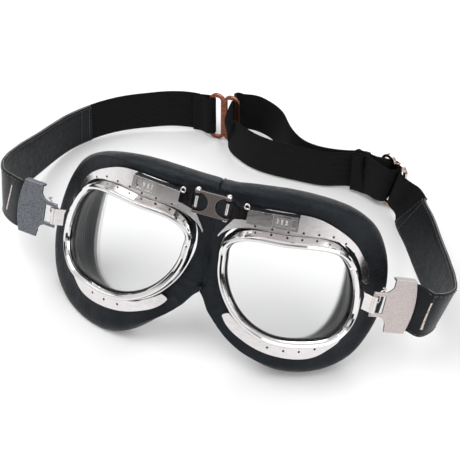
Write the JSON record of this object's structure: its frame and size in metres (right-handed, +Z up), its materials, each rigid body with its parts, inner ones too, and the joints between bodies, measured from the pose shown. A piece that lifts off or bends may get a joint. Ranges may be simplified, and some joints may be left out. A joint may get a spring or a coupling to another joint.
{
  "type": "motorcycle goggles",
  "caption": "Split-frame riding goggles: two metal-rimmed clear lenses hinged at the bridge on a padded leather mask, with a leather and elastic head strap.",
  "frame": {"origin": "centre of the bounding box's base, on the table", "axes": "+X to the cup on the slider buckle's side, +Y from the lenses towards the strap's back, +Z up"},
  "size_m": [0.28, 0.2303, 0.1067],
  "materials": {
    "mask_leather": "black leather, satin",
    "chrome": "polished chrome",
    "clear_lens": "clear, polished",
    "cup_rubber": "black, matt",
    "dark_metal": "black, satin",
    "link_metal": "grey-brown, satin",
    "clip_metal": "speckled satin",
    "strap_leather": "black leather, satin",
    "strap_lining": "black suede side",
    "elastic": "woven elastic webbing",
    "buckle_metal": "copper-brown plated"
  },
  "bodies": {
    "bridge": {"bridge_link": "link_metal", "bridge_pins": "chrome", "mask_nose": "mask_leather"},
    "pivot_left": {"tongue_left": "dark_metal"},
    "eye_left": {"guide_cover_left": "chrome", "top_plate_left": "chrome", "bottom_plate_left": "chrome", "rim_left": "chrome", "lens_left": "clear_lens", "lens_seat_left": "cup_rubber", "cup_liner_left": "cup_rubber", "hinge_tab_left": "chrome", "mask_left": "mask_leather"},
    "strap_left": {"clip_plate_left": "clip_metal", "clip_wire_left": "chrome", "strap_leather_left": "strap_leather", "strap_lining_left": "strap_lining", "elastic_left": "elastic"},
    "pivot_right": {"tongue_right": "dark_metal"},
    "eye_right": {"guide_cover_right": "chrome", "top_plate_right": "chrome", "bottom_plate_right": "chrome", "rim_right": "chrome", "lens_right": "clear_lens", "lens_seat_right": "cup_rubber", "cup_liner_right": "cup_rubber", "hinge_tab_right": "chrome", "mask_right": "mask_leather"},
    "strap_right": {"clip_plate_right": "clip_metal", "clip_wire_right": "chrome", "strap_leather_right": "strap_leather", "strap_lining_right": "strap_lining", "elastic_right_outer": "elastic", "elastic_right_inner": "elastic", "slider_buckle": "buckle_metal"},
    "link": {"link_buckle": "buckle_metal"}
  },
  "joints": [
    {"name": "fold_left", "type": "hinge", "parent": "bridge", "child": "pivot_left", "pos_m": [-0.0028, -0.0965, 0.0991], "axis": [0, 0.342, 0.9397], "range_deg": [-4, 4]},
    {"name": "nose_width_left", "type": "slide", "parent": "pivot_left", "child": "eye_left", "axis": [-0.995, 0.0972, 0.0248], "range_m": [-0.001, 0]},
    {"name": "clip_left", "type": "hinge", "parent": "eye_left", "child": "strap_left", "pos_m": [-0.0868, -0.08468, 0.05117], "axis": [0, 0.342, 0.9397], "range_deg": [-4.7, 4.7]},
    {"name": "fold_right", "type": "hinge", "parent": "bridge", "child": "pivot_right", "pos_m": [0.0138, -0.0965, 0.0991], "axis": [0, -0.342, -0.9397], "range_deg": [-4, 4]},
    {"name": "nose_width_right", "type": "slide", "parent": "pivot_right", "child": "eye_right", "axis": [0.995, 0.0972, 0.0248], "range_m": [-0.001, 0]},
    {"name": "clip_right", "type": "hinge", "parent": "eye_right", "child": "strap_right", "pos_m": [0.0978, -0.08468, 0.05117], "axis": [0, -0.342, -0.9397], "range_deg": [-4.7, 4.7]},
    {"name": "link_swivel", "type": "hinge", "parent": "strap_left", "child": "link", "pos_m": [-0.04487, 0.09607, 0.01742], "axis": [-0.1202, 0.0501, 0.9915], "range_deg": [-7, 7]}
  ],
  "couplings": [
    {"joint": "clip_left", "follows": "fold_left", "ratio": -1.156},
    {"joint": "clip_right", "follows": "fold_left", "ratio": -1.156},
    {"joint": "fold_right", "follows": "fold_left", "ratio": 1}
  ]
}
